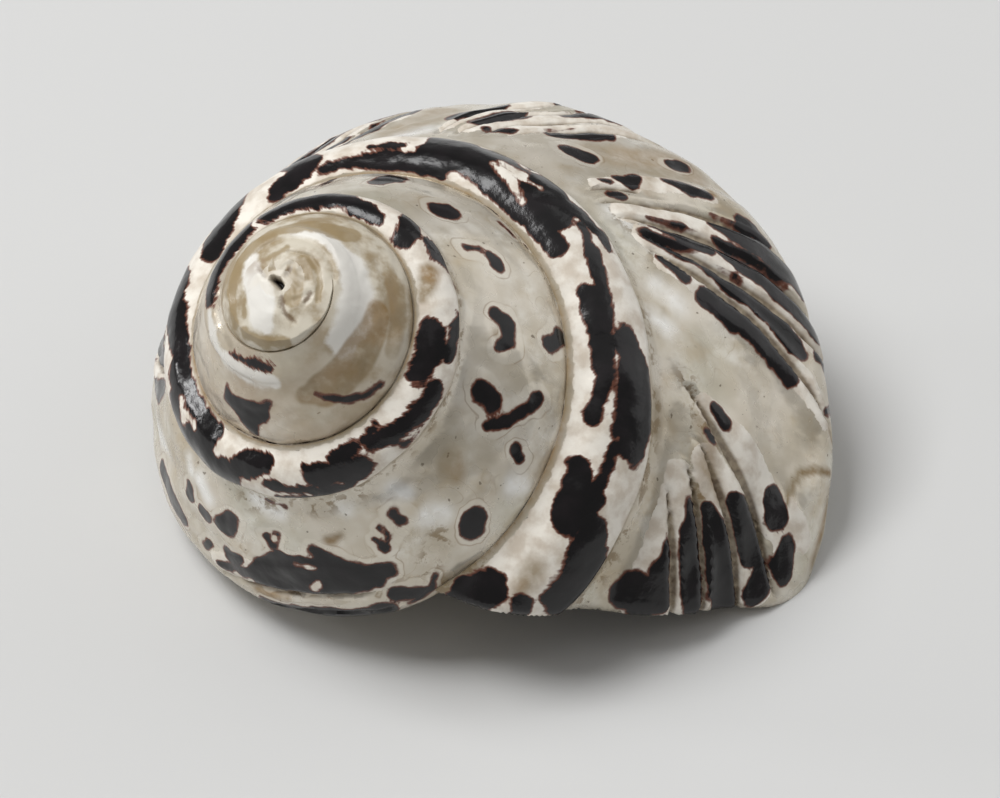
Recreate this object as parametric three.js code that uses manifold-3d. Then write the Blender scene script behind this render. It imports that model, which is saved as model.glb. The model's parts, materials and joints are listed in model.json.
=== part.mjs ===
import * as THREE from "three";
import * as BufferGeometryUtils from "three/addons/utils/BufferGeometryUtils.js";
import Module from "manifold-3d";

// Turban shell, all lengths in millimetres, +Z up, resting mouth down.
// The shell is one whorl outline carried round a leaning axis and growing all the way.

// How the whorl grows.
const GROWTH_PER_WHORL = 0.6754;      // natural log of the size gained in one whorl
const GROWTH_SLOWING = -0.0067;       // a slight falling off away from the middle whorl
const MIDDLE_WHORL = 1.5;
const FIRST_WHORL = -1.3;             // the first turns are worn away by the dome below
const JOINS = [-0.5, 0.3, 1.1];       // where one length of whorl is joined to the next
const LAST_WHORL = 2.35;              // carried past the lip, then trimmed back to it
const LIP_STARTS = 1.8;               // the lip cut only touches the whorl from here on
const RINGS_PER_WHORL = 44;

// Outline of one whorl at whorl zero: distance from the axis, depth below the cone's tip.
const OUTSIDE = [
  [3.775, 5.480],     // seam with the whorl above
  [4.444, 6.026],     // crown of the raised collar
  [4.878, 6.784],     // outer edge of the collar
  [5.163, 7.353],     // hollow channel beside the collar
  [6.242, 8.758],
  [7.026, 9.935],
  [7.340, 10.686],    // shoulder, the widest part
  [7.288, 11.307],
  [6.863, 11.895],
  [6.078, 12.680],
  [5.098, 13.235],
  [3.922, 13.464],    // deepest part of the base
  [2.614, 13.268],
  [1.438, 12.680],
  [0.523, 11.634],
  [0.131, 10.523],    // beside the central pillar
];
const OUTSIDE_POINTS = 34;
// The way back to the seam runs inside the whorl above, so the two become one body.
const INSIDE_RETURN = [[0.080, 5.230], [1.310, 6.400], [2.940, 6.010], [3.530, 5.650]];

// The living chamber, open at the mouth: outline at whorl zero in the same two distances.
const HOLLOW = [
  [3.960, 6.230], [3.660, 6.540], [3.200, 6.830], [2.610, 7.090], [1.960, 7.190],
  [1.310, 7.120], [0.720, 7.560], [0.560, 9.150], [0.640, 10.780], [1.010, 11.620],
  [1.760, 12.370], [2.750, 12.840], [3.920, 13.030], [4.970, 12.840], [5.850, 12.340],
  [6.500, 11.660], [6.880, 11.060], [6.920, 10.640], [6.630, 10.030], [5.880, 8.960],
  [4.830, 7.530], [4.560, 6.940], [4.300, 6.480],
];
const HOLLOW_MIDDLE = [3.850, 9.700];
const HOLLOW_STARTS = 1.52;
const HOLLOW_FULL = 1.68;             // the chamber rounds off between these two
const HOLLOW_SMALLEST = 0.12;         // share of full size at its closed end
const HOLLOW_JOIN = 1.95;
const PAST_LIP = 0.04;                // the chamber is cut this much further than the whorl

// Ground facets: how far the shoulder is cut in, at whorl zero scale, round the last whorl.
const FACETS = [
  [1.20, 0.0], [1.35, 0.27], [1.50, 0.29], [1.65, 0.07], [1.80, 0.01],
  [1.90, 0.02], [2.00, 0.35], [2.08, 0.58], [2.20, 0.15],
];
const FACET_MIDDLE = [3.92, 9.80];    // facets fade with the angle about this point
const FACET_FADE = [[-60, 0], [-35, 0.35], [5, 1], [30, 1], [60, 0.8], [110, 0.25]];
const FACET_FROM = -60;
const FACET_TO = 160;

// The tip is worn down to this low dome, and a pillar fills the middle: radius and depth.
const WORN_DOME = [
  [0.30, 4.80], [1.30, 4.85], [2.30, 5.00], [3.10, 5.24], [3.80, 5.50], [4.60, 5.80],
  [6.00, 6.25], [9.50, 7.30], [60.0, 20.0], [60.0, 90.0],
];
const PILLAR = [[0.30, 2.50], [0.75, 5.20], [0.75, 12.0], [1.28, 42.5]];
const ROUND_STEPS = 36;

// How the shell lies: lean of the axis, the way it leans, and the turn about the axis.
const LEAN = 31.65;
const LEAN_TOWARDS = 230.4;
const SPIN = 121.8;
const TIP_HEIGHT = 34.77;             // the cone's tip above the table
const TO_CENTRE = [-15.63, -14.99];    // sideways move that centres the footprint

// The lip lies close to one plane, given by a point on it and its facing direction.
const LIP_POINT = [-2.5, -20.49, 7.85];
const LIP_FACING = [0.208, 0.387, 0.897];
const BIG = 160;
const SAME_POINT = 1e-4;              // corners closer than this are one corner

const PEARL = 0xb9b5a4;
const PEARL_ROUGHNESS = 0.35;

const wasm = await Module();
wasm.setup();

function growth(turn) {
  const away = turn - MIDDLE_WHORL;
  return Math.exp(GROWTH_PER_WHORL * turn + GROWTH_SLOWING * away * away);
}

// Reads a value out of a short list of [place, value] pairs, easing between them.
function readList(list, place) {
  if (place <= list[0][0]) return list[0][1];
  for (let i = 1; i < list.length; i += 1) {
    if (place <= list[i][0]) {
      const part = (place - list[i - 1][0]) / (list[i][0] - list[i - 1][0]);
      const ease = part * part * (3 - 2 * part);
      return list[i - 1][1] + (list[i][1] - list[i - 1][1]) * ease;
    }
  }
  return list[list.length - 1][1];
}

function smoothLine(points, count) {
  const curve = new THREE.SplineCurve(points.map(([r, d]) => new THREE.Vector2(r, d)));
  return curve.getSpacedPoints(count - 1).map((p) => [p.x, p.y]);
}

const outsideLine = smoothLine(OUTSIDE, OUTSIDE_POINTS);

// Moves an outline in at the shoulder, wall and all, where a facet is ground.
function groundIn(line, turn) {
  const depth = readList(FACETS, turn);
  return line.map(([r, d]) => {
    const dr = r - FACET_MIDDLE[0];
    const dd = d - FACET_MIDDLE[1];
    const angle = THREE.MathUtils.radToDeg(Math.atan2(dd, dr));
    const amount = depth * (angle < FACET_FROM || angle > FACET_TO ? 0 : readList(FACET_FADE, angle));
    const long = Math.hypot(dr, dd);
    return [r - (amount * dr) / long, d - (amount * dd) / long];
  });
}

function whorlLoop(turn) {
  return groundIn(outsideLine, turn).concat(INSIDE_RETURN);
}

function hollowLoop(turn) {
  const part = THREE.MathUtils.clamp((turn - HOLLOW_STARTS) / (HOLLOW_FULL - HOLLOW_STARTS), 0, 1);
  const opened = Math.sqrt(1 - (1 - part) * (1 - part));
  const size = HOLLOW_SMALLEST + (1 - HOLLOW_SMALLEST) * opened;
  return groundIn(HOLLOW, turn).map(([r, d]) => [
    HOLLOW_MIDDLE[0] + (r - HOLLOW_MIDDLE[0]) * size,
    HOLLOW_MIDDLE[1] + (d - HOLLOW_MIDDLE[1]) * size,
  ]);
}

// A closed body from a row of rings, each the same number of points, flat at both ends.
function bodyFromRings(rings, flatFirst, flatLast) {
  const count = rings[0].length;
  const spots = rings.flat().flat();
  const faces = [];
  for (let i = 0; i + 1 < rings.length; i += 1) {
    for (let j = 0; j < count; j += 1) {
      const k = (j + 1) % count;
      const a = i * count + j;
      const b = i * count + k;
      const c = (i + 1) * count + k;
      const d = (i + 1) * count + j;
      faces.push(a, b, c, a, c, d);
    }
  }
  const closeEnd = (flat, base, flip) => {
    const outline = flat.map(([x, y]) => new THREE.Vector2(x, y));
    for (const [a, b, c] of THREE.ShapeUtils.triangulateShape(outline, [])) {
      if (flip) faces.push(base + a, base + c, base + b);
      else faces.push(base + a, base + b, base + c);
    }
  };
  const firstOutline = flatFirst.map(([x, y]) => new THREE.Vector2(x, y));
  const turnsLeft = THREE.ShapeUtils.isClockWise(firstOutline);
  closeEnd(flatFirst, 0, !turnsLeft);
  closeEnd(flatLast, (rings.length - 1) * count, turnsLeft);
  if (volumeOf(spots, faces) < 0) {
    for (let i = 0; i < faces.length; i += 3) {
      [faces[i + 1], faces[i + 2]] = [faces[i + 2], faces[i + 1]];
    }
  }
  return new wasm.Manifold(new wasm.Mesh({
    numProp: 3,
    vertProperties: new Float32Array(spots),
    triVerts: new Uint32Array(faces),
  }));
}

function volumeOf(spots, faces) {
  let total = 0;
  for (let i = 0; i < faces.length; i += 3) {
    const [a, b, c] = [0, 1, 2].map((n) => new THREE.Vector3().fromArray(spots, faces[i + n] * 3));
    total += a.dot(b.cross(c)) / 6;
  }
  return total;
}

// Carries a loop round the axis. The whorls run clockwise seen from the tip.
function whorlBody(loopAt, from, to) {
  const steps = Math.max(2, Math.round((to - from) * RINGS_PER_WHORL));
  const rings = [];
  for (let i = 0; i <= steps; i += 1) {
    const turn = from + ((to - from) * i) / steps;
    const angle = -turn * Math.PI * 2;
    const size = growth(turn);
    rings.push(loopAt(turn).map(([r, d]) => [
      r * size * Math.cos(angle), r * size * Math.sin(angle), -d * size,
    ]));
  }
  return bodyFromRings(rings, loopAt(from), loopAt(to));
}

// A round body about the axis from a list of [radius, depth].
function roundBody(line) {
  const rings = line.map(([radius, depth]) => {
    const ring = [];
    for (let i = 0; i < ROUND_STEPS; i += 1) {
      const angle = (i * Math.PI * 2) / ROUND_STEPS;
      ring.push([radius * Math.cos(angle), radius * Math.sin(angle), -depth]);
    }
    return ring;
  });
  const flat = rings[0].map(([x, y]) => [x, y]);
  return bodyFromRings(rings, flat, flat);
}

// A large block lying wholly on the far side of a plane.
function blockBeyond(point, facing) {
  const geometry = new THREE.BoxGeometry(BIG, BIG, BIG);
  geometry.translate(0, 0, -BIG / 2);
  const away = new THREE.Vector3(...facing).normalize();
  const turn = new THREE.Quaternion().setFromUnitVectors(new THREE.Vector3(0, 0, 1), away);
  geometry.applyQuaternion(turn);
  geometry.translate(...point);
  geometry.deleteAttribute("normal");
  geometry.deleteAttribute("uv");
  const merged = BufferGeometryUtils.mergeVertices(geometry, SAME_POINT);
  return new wasm.Manifold(new wasm.Mesh({
    numProp: 3,
    vertProperties: new Float32Array(merged.attributes.position.array),
    triVerts: new Uint32Array(merged.index.array),
  }));
}

// Places a body standing on the shell's own axis into its resting pose.
function laidDown(body) {
  const pose = new THREE.Matrix4().makeTranslation(TO_CENTRE[0], TO_CENTRE[1], TIP_HEIGHT)
    .multiply(new THREE.Matrix4().makeRotationZ(THREE.MathUtils.degToRad(LEAN_TOWARDS)))
    .multiply(new THREE.Matrix4().makeRotationY(THREE.MathUtils.degToRad(LEAN)))
    .multiply(new THREE.Matrix4().makeRotationZ(THREE.MathUtils.degToRad(SPIN)));
  return body.transform(pose.elements);
}

function geometryOf(body) {
  const mesh = body.getMesh();
  const geometry = new THREE.BufferGeometry();
  geometry.setAttribute("position", new THREE.BufferAttribute(new Float32Array(mesh.vertProperties), 3));
  geometry.setIndex(new THREE.BufferAttribute(new Uint32Array(mesh.triVerts), 1));
  return geometry;
}

// The joins can leave empty slivers behind, so only the shell itself is kept.
function largestOf(joined) {
  return joined.decompose().reduce((most, next) => (next.volume() > most.volume() ? next : most));
}

const earlyWhorls = whorlBody(whorlLoop, FIRST_WHORL, JOINS[0])
  .add(whorlBody(whorlLoop, JOINS[0], JOINS[1]))
  .add(whorlBody(whorlLoop, JOINS[1], JOINS[2]))
  .add(whorlBody(whorlLoop, JOINS[2], LIP_STARTS))
  .add(roundBody(PILLAR));
const lastWhorl = laidDown(whorlBody(whorlLoop, LIP_STARTS, LAST_WHORL))
  .subtract(blockBeyond(LIP_POINT, LIP_FACING));
const chamber = whorlBody(hollowLoop, HOLLOW_STARTS, HOLLOW_JOIN)
  .add(whorlBody(hollowLoop, HOLLOW_JOIN, LAST_WHORL + PAST_LIP));

const body = laidDown(earlyWhorls.intersect(roundBody(WORN_DOME)))
  .add(lastWhorl)
  .subtract(laidDown(chamber))
  .subtract(blockBeyond([0, 0, 0], [0, 0, 1]));

const shellMaterial = new THREE.MeshStandardMaterial({ color: PEARL, roughness: PEARL_ROUGHNESS });
const shell = new THREE.Mesh(geometryOf(largestOf(body)), shellMaterial);
shell.name = "shell";

const group = new THREE.Group();
group.name = "turban_shell";
group.add(shell);

export default group;
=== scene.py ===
import json
import math

import bpy
import numpy as np
from mathutils import Matrix, Vector

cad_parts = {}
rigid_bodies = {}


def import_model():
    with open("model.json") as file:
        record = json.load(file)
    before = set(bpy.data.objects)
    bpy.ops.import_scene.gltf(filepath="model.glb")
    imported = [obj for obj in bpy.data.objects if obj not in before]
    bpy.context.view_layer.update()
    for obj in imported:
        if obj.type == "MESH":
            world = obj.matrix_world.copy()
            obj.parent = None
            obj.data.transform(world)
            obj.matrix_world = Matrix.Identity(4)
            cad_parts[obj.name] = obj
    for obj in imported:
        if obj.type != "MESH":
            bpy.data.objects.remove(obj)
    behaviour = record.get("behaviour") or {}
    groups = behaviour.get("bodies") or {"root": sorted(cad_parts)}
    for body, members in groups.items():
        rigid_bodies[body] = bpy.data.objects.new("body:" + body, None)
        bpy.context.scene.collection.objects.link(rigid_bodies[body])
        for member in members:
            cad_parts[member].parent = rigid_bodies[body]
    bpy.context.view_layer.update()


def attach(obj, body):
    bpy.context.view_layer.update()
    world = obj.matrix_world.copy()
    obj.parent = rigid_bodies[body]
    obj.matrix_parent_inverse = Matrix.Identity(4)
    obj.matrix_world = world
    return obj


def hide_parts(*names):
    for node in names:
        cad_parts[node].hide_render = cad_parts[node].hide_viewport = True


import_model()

# A turban shell, ground and polished down to its mother-of-pearl, lying mouth down.
# Shape work is in millimetres on the shell's own upright axis, made metres when it is laid down.
# A place on a whorl is (turn, across): whorls counted from the tip, and the way over the whorl
# from the seam in millimetres at whorl zero's size.

TO_METRES = 0.001

FULL_TURN = 2 * math.pi

# ---- how the whorl grows, as in the CAD ----
# Outlines are at whorl zero: (distance from the axis, depth below the cone's tip) in mm.
GROWTH_PER_WHORL = 0.6754
GROWTH_SLOWING = -0.0067
MIDDLE_WHORL = 1.5
OUTSIDE = [
    (3.775, 5.480), (4.444, 6.026), (4.878, 6.784), (5.163, 7.353), (6.242, 8.758),
    (7.026, 9.935), (7.340, 10.686), (7.288, 11.307), (6.863, 11.895), (6.078, 12.680),
    (5.098, 13.235), (3.922, 13.464), (2.614, 13.268), (1.438, 12.680), (0.523, 11.634),
    (0.131, 10.523),
]
SEAM_RADIUS = OUTSIDE[0][0]
SHOULDER_RADIUS = 6.0                       # rings are spaced by their way round at this radius
INSIDE_RETURN = [(0.080, 5.230), (1.310, 6.400), (2.940, 6.010), (3.530, 5.650)]
HOLLOW = [
    (3.960, 6.230), (3.660, 6.540), (3.200, 6.830), (2.610, 7.090), (1.960, 7.190),
    (1.310, 7.120), (0.720, 7.560), (0.560, 9.150), (0.640, 10.780), (1.010, 11.620),
    (1.760, 12.370), (2.750, 12.840), (3.920, 13.030), (4.970, 12.840), (5.850, 12.340),
    (6.500, 11.660), (6.880, 11.060), (6.920, 10.640), (6.630, 10.030), (5.880, 8.960),
    (4.830, 7.530), (4.560, 6.940), (4.300, 6.480),
]
HOLLOW_MIDDLE = (3.850, 9.700)
HOLLOW_STARTS, HOLLOW_FULL = 1.52, 1.68
HOLLOW_FIRST_SIZE = 0.12                    # the chamber's rounded end starts at this part of its size
# Facets ground into the shoulder: (turn, mm ground in), less away from the shoulder.
FACETS = [
    (1.20, 0.0), (1.35, 0.27), (1.50, 0.29), (1.65, 0.07), (1.80, 0.01),
    (1.90, 0.02), (2.00, 0.35), (2.08, 0.58), (2.20, 0.15),
]
FACET_MIDDLE = (3.92, 9.80)
FACET_ARC = (-60, 160)                      # degrees about the middle that a facet reaches
FACET_FADE = [(-60, 0), (-35, 0.35), (5, 1), (30, 1), (60, 0.8), (110, 0.25)]
# Round bodies about the axis, in real mm: (radius, depth).
WORN_DOME = [
    (0.30, 4.80), (1.30, 4.85), (2.30, 5.00), (3.10, 5.24), (3.80, 5.50), (4.60, 5.80),
    (6.00, 6.25), (9.50, 7.30), (60.0, 20.0), (60.0, 90.0),
]
PILLAR = [(0.30, 2.50), (0.75, 5.20), (0.75, 12.0), (1.28, 42.5)]
LEAN, LEAN_TOWARDS, SPIN = 31.65, 230.4, 121.8
TIP_HEIGHT, TO_CENTRE = 34.77, (-15.63, -14.99)
LIP_POINT, LIP_FACING = (-2.5, -20.49, 7.85), (0.208, 0.387, 0.897)

# ---- carved relief: strokes of (turn, across, half width), depth in mm at whorl zero's size ----
GROOVE_DEPTH = 0.14
GROOVES = [
    # fan beside the lip
    [(2.003, 2.65, .05), (2.020, 3.25, .13), (2.036, 3.95, .14), (2.048, 4.6, .14), (2.062, 5.25, .12),
     (2.076, 5.85, .05)],
    [(2.030, 2.95, .05), (2.046, 3.5, .13), (2.062, 4.1, .13), (2.076, 4.65, .13), (2.090, 5.2, .08)],
    [(2.044, 2.75, .05), (2.064, 3.25, .12), (2.082, 3.72, .12), (2.102, 4.25, .10)],
    [(2.060, 2.50, .05), (2.080, 2.85, .12), (2.096, 3.2, .13), (2.109, 3.55, .10)],
    # right-hand fan
    [(1.873, 2.85, .04), (1.876, 3.3, .09), (1.882, 3.85, .07)],
    [(1.883, 2.75, .05), (1.892, 3.7, .13), (1.899, 4.5, .14), (1.908, 5.2, .13), (1.918, 6.0, .12),
     (1.928, 6.8, .10), (1.938, 7.6, .05)],
    [(1.897, 2.75, .05), (1.908, 3.6, .14), (1.918, 4.5, .14), (1.930, 5.3, .13), (1.943, 6.1, .12),
     (1.952, 6.9, .10), (1.960, 7.7, .05)],
    [(1.910, 2.85, .05), (1.925, 3.6, .13), (1.938, 4.4, .13), (1.950, 5.3, .13), (1.962, 6.1, .12),
     (1.972, 6.9, .10), (1.978, 7.6, .05)],
    [(1.922, 2.90, .05), (1.936, 3.5, .13), (1.950, 4.2, .13), (1.964, 5.0, .13), (1.980, 5.8, .12),
     (1.996, 6.4, .08), (2.006, 7.0, .05)],
    # back fan
    [(1.767, 3.2, .05), (1.773, 4.0, .10), (1.782, 4.8, .13), (1.795, 5.6, .12), (1.805, 6.5, .10),
     (1.812, 7.3, .05)],
    [(1.779, 3.2, .05), (1.789, 3.9, .12), (1.799, 4.8, .13), (1.811, 5.6, .12), (1.820, 6.5, .10),
     (1.828, 7.3, .05)],
    [(1.793, 3.4, .05), (1.805, 4.2, .13), (1.817, 5.0, .13), (1.828, 5.8, .12), (1.838, 6.6, .10),
     (1.846, 7.4, .05)],
    [(1.808, 3.5, .05), (1.820, 4.2, .13), (1.832, 5.0, .12), (1.845, 5.8, .12), (1.855, 6.6, .08)],
    # back left fan
    [(1.655, 2.9, .05), (1.662, 3.8, .12), (1.673, 4.8, .13), (1.686, 5.8, .12), (1.696, 6.8, .08)],
    [(1.668, 3.0, .05), (1.678, 3.8, .13), (1.690, 4.8, .13), (1.704, 5.8, .12), (1.714, 6.8, .08)],
    [(1.682, 3.1, .05), (1.694, 4.0, .13), (1.708, 5.0, .12), (1.721, 6.0, .12), (1.731, 7.0, .08)],
    [(1.697, 3.3, .05), (1.711, 4.2, .12), (1.726, 5.2, .12), (1.738, 6.2, .10)],
    # left fan
    [(1.500, 2.9, .05), (1.509, 3.8, .12), (1.521, 4.8, .13), (1.535, 5.8, .12), (1.546, 6.8, .08)],
    [(1.516, 2.9, .05), (1.527, 3.8, .13), (1.540, 4.8, .13), (1.555, 5.8, .12), (1.566, 6.8, .08)],
    [(1.533, 3.0, .05), (1.546, 4.0, .13), (1.561, 5.0, .12), (1.575, 6.0, .12), (1.586, 7.0, .08)],
    [(1.552, 3.1, .05), (1.566, 4.1, .13), (1.582, 5.2, .12), (1.594, 6.2, .10)],
    # front left fan, worn almost smooth
    [(1.232, 5.75, .05), (1.262, 5.65, .10), (1.300, 5.75, .12), (1.335, 5.95, .10), (1.365, 6.15, .05)],
    [(1.235, 6.55, .05), (1.275, 6.45, .10), (1.315, 6.6, .10), (1.350, 6.85, .05)],
]
# Hollows ground between the fans, down into the mother-of-pearl: softer and broader.
HOLLOWS = [
    (0.12, [(1.975, 3.9, .7), (1.992, 4.8, 1.1), (2.012, 5.7, 1.0)]),
    (0.10, [(1.848, 4.6, .5), (1.868, 5.4, .8), (1.882, 6.3, .8)]),
    (0.10, [(1.735, 4.0, .5), (1.752, 4.9, .8), (1.768, 5.9, .8)]),
    (0.12, [(1.600, 3.9, .6), (1.622, 4.9, 1.0), (1.645, 5.9, 1.0)]),
    (0.10, [(1.430, 3.9, .6), (1.455, 4.9, .9), (1.485, 5.9, .9)]),
]

# ---- markings: dark pigment left in the shell, strokes of (turn, across, half width) ----
COLLAR_MARKS = [
    # first whorl showing
    [(.285, .9, .4), (.31, .75, .5), (.335, .7, .3)], [(.335, .7, .15), (.365, .8, .3), (.385, .85, .25)],
    [(.303, 3.6, .3), (.318, 4.3, .7), (.34, 4.6, .8), (.375, 4.3, .55), (.385, 3.8, .3)],
    [(.34, 5.2, .6), (.33, 5.9, .35)],
    [(.218, 3.4, .08), (.205, 3.9, .22), (.185, 4.6, .3), (.16, 5.3, .4), (.13, 5.8, .3)],
    # raised collar, tip outwards
    [(.505, .8, .35), (.545, .9, .65), (.60, .95, .75), (.638, .95, .7)],
    [(.685, .9, .65), (.73, .95, .8), (.77, .9, .75), (.785, 1.1, .6)],
    [(.77, .9, .4), (.82, .62, .4), (.85, .45, .35)], [(.903, .55, .4), (.890, 1.0, .4), (.875, 1.5, .35)],
    [(.918, 1.35, .38), (.935, 1.3, .38)], [(.94, 1.5, .22), (.957, 1.75, .14), (.975, 1.95, .05)],
    [(1.035, .6, .4), (1.06, .6, .52), (1.085, .5, .38)],
    [(1.055, 1.15, .26), (1.03, 1.35, .22), (1.005, 1.55, .16)],
    [(1.092, 1.2, .34), (1.115, 1.2, .34), (1.145, .95, .28), (1.18, .6, .28)],
    [(1.172, .42, .28), (1.187, .5, .2)], [(1.135, 1.5, .08), (1.155, 1.38, .07)],
    [(1.203, .5, .28), (1.222, .6, .26)],
    [(1.203, 1.15, .38), (1.225, 1.2, .45), (1.255, .9, .3), (1.265, .65, .15)],
    [(1.22, 1.5, .22), (1.27, 1.25, .2), (1.305, 1.1, .12)],
    [(1.245, 1.6, .1), (1.285, 1.62, .12), (1.30, 1.6, .07)],
    [(1.313, .5, .33), (1.33, .62, .42), (1.342, .85, .25)],
    [(1.355, 1.3, .5), (1.372, 1.5, .55), (1.39, 1.35, .62), (1.42, 1.25, .45), (1.45, 1.0, .25)],
    [(1.39, .55, .42), (1.41, .35, .25), (1.44, .45, .32), (1.465, .55, .42), (1.49, .3, .22)],
    [(1.30, 2.3, .06), (1.32, 2.15, .09)], [(1.50, .5, .35), (1.53, .8, .5), (1.56, 1.1, .4)],
    [(1.60, .5, .35), (1.625, .9, .45), (1.64, 1.3, .3)],
    [(1.675, .4, .3), (1.70, .7, .36), (1.69, 1.2, .36)],
    [(1.715, .4, .15), (1.76, .38, .24), (1.82, .32, .26)], [(1.752, .74, .1), (1.775, .78, .13)],
    [(1.802, .55, .4), (1.806, 1.0, .6), (1.80, 1.4, .4)], [(1.822, .8, .5), (1.832, 1.25, .35)],
    [(1.84, .5, .28), (1.865, .55, .32), (1.90, .42, .27), (1.92, .45, .25)],
    [(1.902, .65, .4), (1.885, 1.0, .48), (1.873, 1.35, .36)], [(1.87, 1.56, .09), (1.84, 1.6, .09)],
    [(1.835, 1.25, .15), (1.857, 1.2, .12)], [(1.84, .8, .2), (1.862, .7, .13)],
    [(1.902, 1.3, .26), (1.918, 1.42, .18), (1.930, 1.4, .10)],
    [(1.912, 1.1, .15), (1.955, .83, .12), (1.985, .72, .13)], [(1.962, .56, .2), (1.990, .58, .22)],
    [(1.995, .62, .23), (2.02, .57, .13), (2.045, .46, .15)],
    [(1.992, 1.05, .25), (2.010, 1.22, .36), (2.035, 1.28, .38), (2.05, 1.22, .36)],
    [(2.02, 1.0, .14), (2.06, .92, .12), (2.10, .82, .2)], [(2.08, .56, .24), (2.107, .62, .26)],
    [(2.104, 1.15, .28), (2.118, 1.3, .38), (2.14, 1.35, .36)],
    [(2.168, .45, .26), (2.182, .4, .36), (2.196, .5, .3)], [(2.160, .95, .16), (2.17, 1.15, .13)],
]
# Spots standing alone in the mother-of-pearl.
SPOTS = [
    [(.722, 4.9, .3), (.73, 5.7, .28)], [(.786, 4.55, .4), (.793, 5.1, .52), (.792, 5.5, .35)],
    [(.863, 3.98, .45), (.867, 4.2, .48)], [(.917, 3.35, .16), (.920, 3.8, .2)],
    [(.929, 4.15, .27), (.939, 4.2, .28)],
    [(.990, 3.4, .18), (.995, 3.85, .28), (1.012, 3.9, .26), (1.023, 3.4, .15)],
    [(1.065, 3.1, .42), (1.067, 3.55, .42)],
    [(1.047, 5.3, .27), (1.060, 4.8, .22), (1.075, 4.3, .2), (1.09, 3.7, .08)],
    [(1.092, 5.1, .26), (1.095, 5.3, .24)], [(1.151, 5.2, .38), (1.156, 5.35, .4)],
    [(.89, 6.0, .12), (.905, 6.1, .16)], [(1.004, 5.6, .26), (.995, 6.2, .42)],
    [(1.201, 3.25, .26), (1.199, 3.62, .3)], [(1.217, 3.5, .13), (1.212, 3.95, .14)],
    [(1.226, 3.8, .1), (1.219, 4.22, .13)], [(1.358, 3.5, .36), (1.362, 3.85, .42)],
    [(1.384, 4.1, .2), (1.389, 4.1, .2)], [(1.41, 3.65, .18), (1.406, 4.05, .24)],
    [(1.312, 3.4, .2), (1.316, 3.75, .2), (1.322, 3.5, .16)], [(1.38, 5.4, .2), (1.382, 5.6, .2)],
    [(1.41, 5.55, .22), (1.43, 5.4, .36), (1.452, 5.45, .24)],
    [(1.350, 5.05, .26), (1.356, 5.25, .3), (1.362, 5.05, .24)], [(1.840, 3.68, .22), (1.849, 3.74, .24)],
    [(1.866, 5.7, .14), (1.868, 6.0, .16)],
    # the large dark patch of the front left fan
    [(1.225, 5.0, .26), (1.25, 4.7, .36), (1.268, 4.2, .32), (1.28, 3.7, .18)],
    [(1.235, 5.15, .3), (1.262, 5.15, .5), (1.30, 5.25, .42), (1.335, 5.45, .36), (1.368, 5.8, .15)],
    [(1.268, 4.5, .36), (1.31, 4.35, .4), (1.325, 4.8, .42), (1.332, 5.2, .36)],
    [(1.31, 5.0, .4), (1.30, 4.75, .3)], [(1.198, 6.0, .12), (1.206, 6.4, .2), (1.222, 6.6, .16)],
    [(1.212, 6.3, .36), (1.228, 5.98, .26)], [(1.24, 6.5, .38), (1.28, 6.6, .42), (1.33, 6.8, .36)],
]
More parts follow.
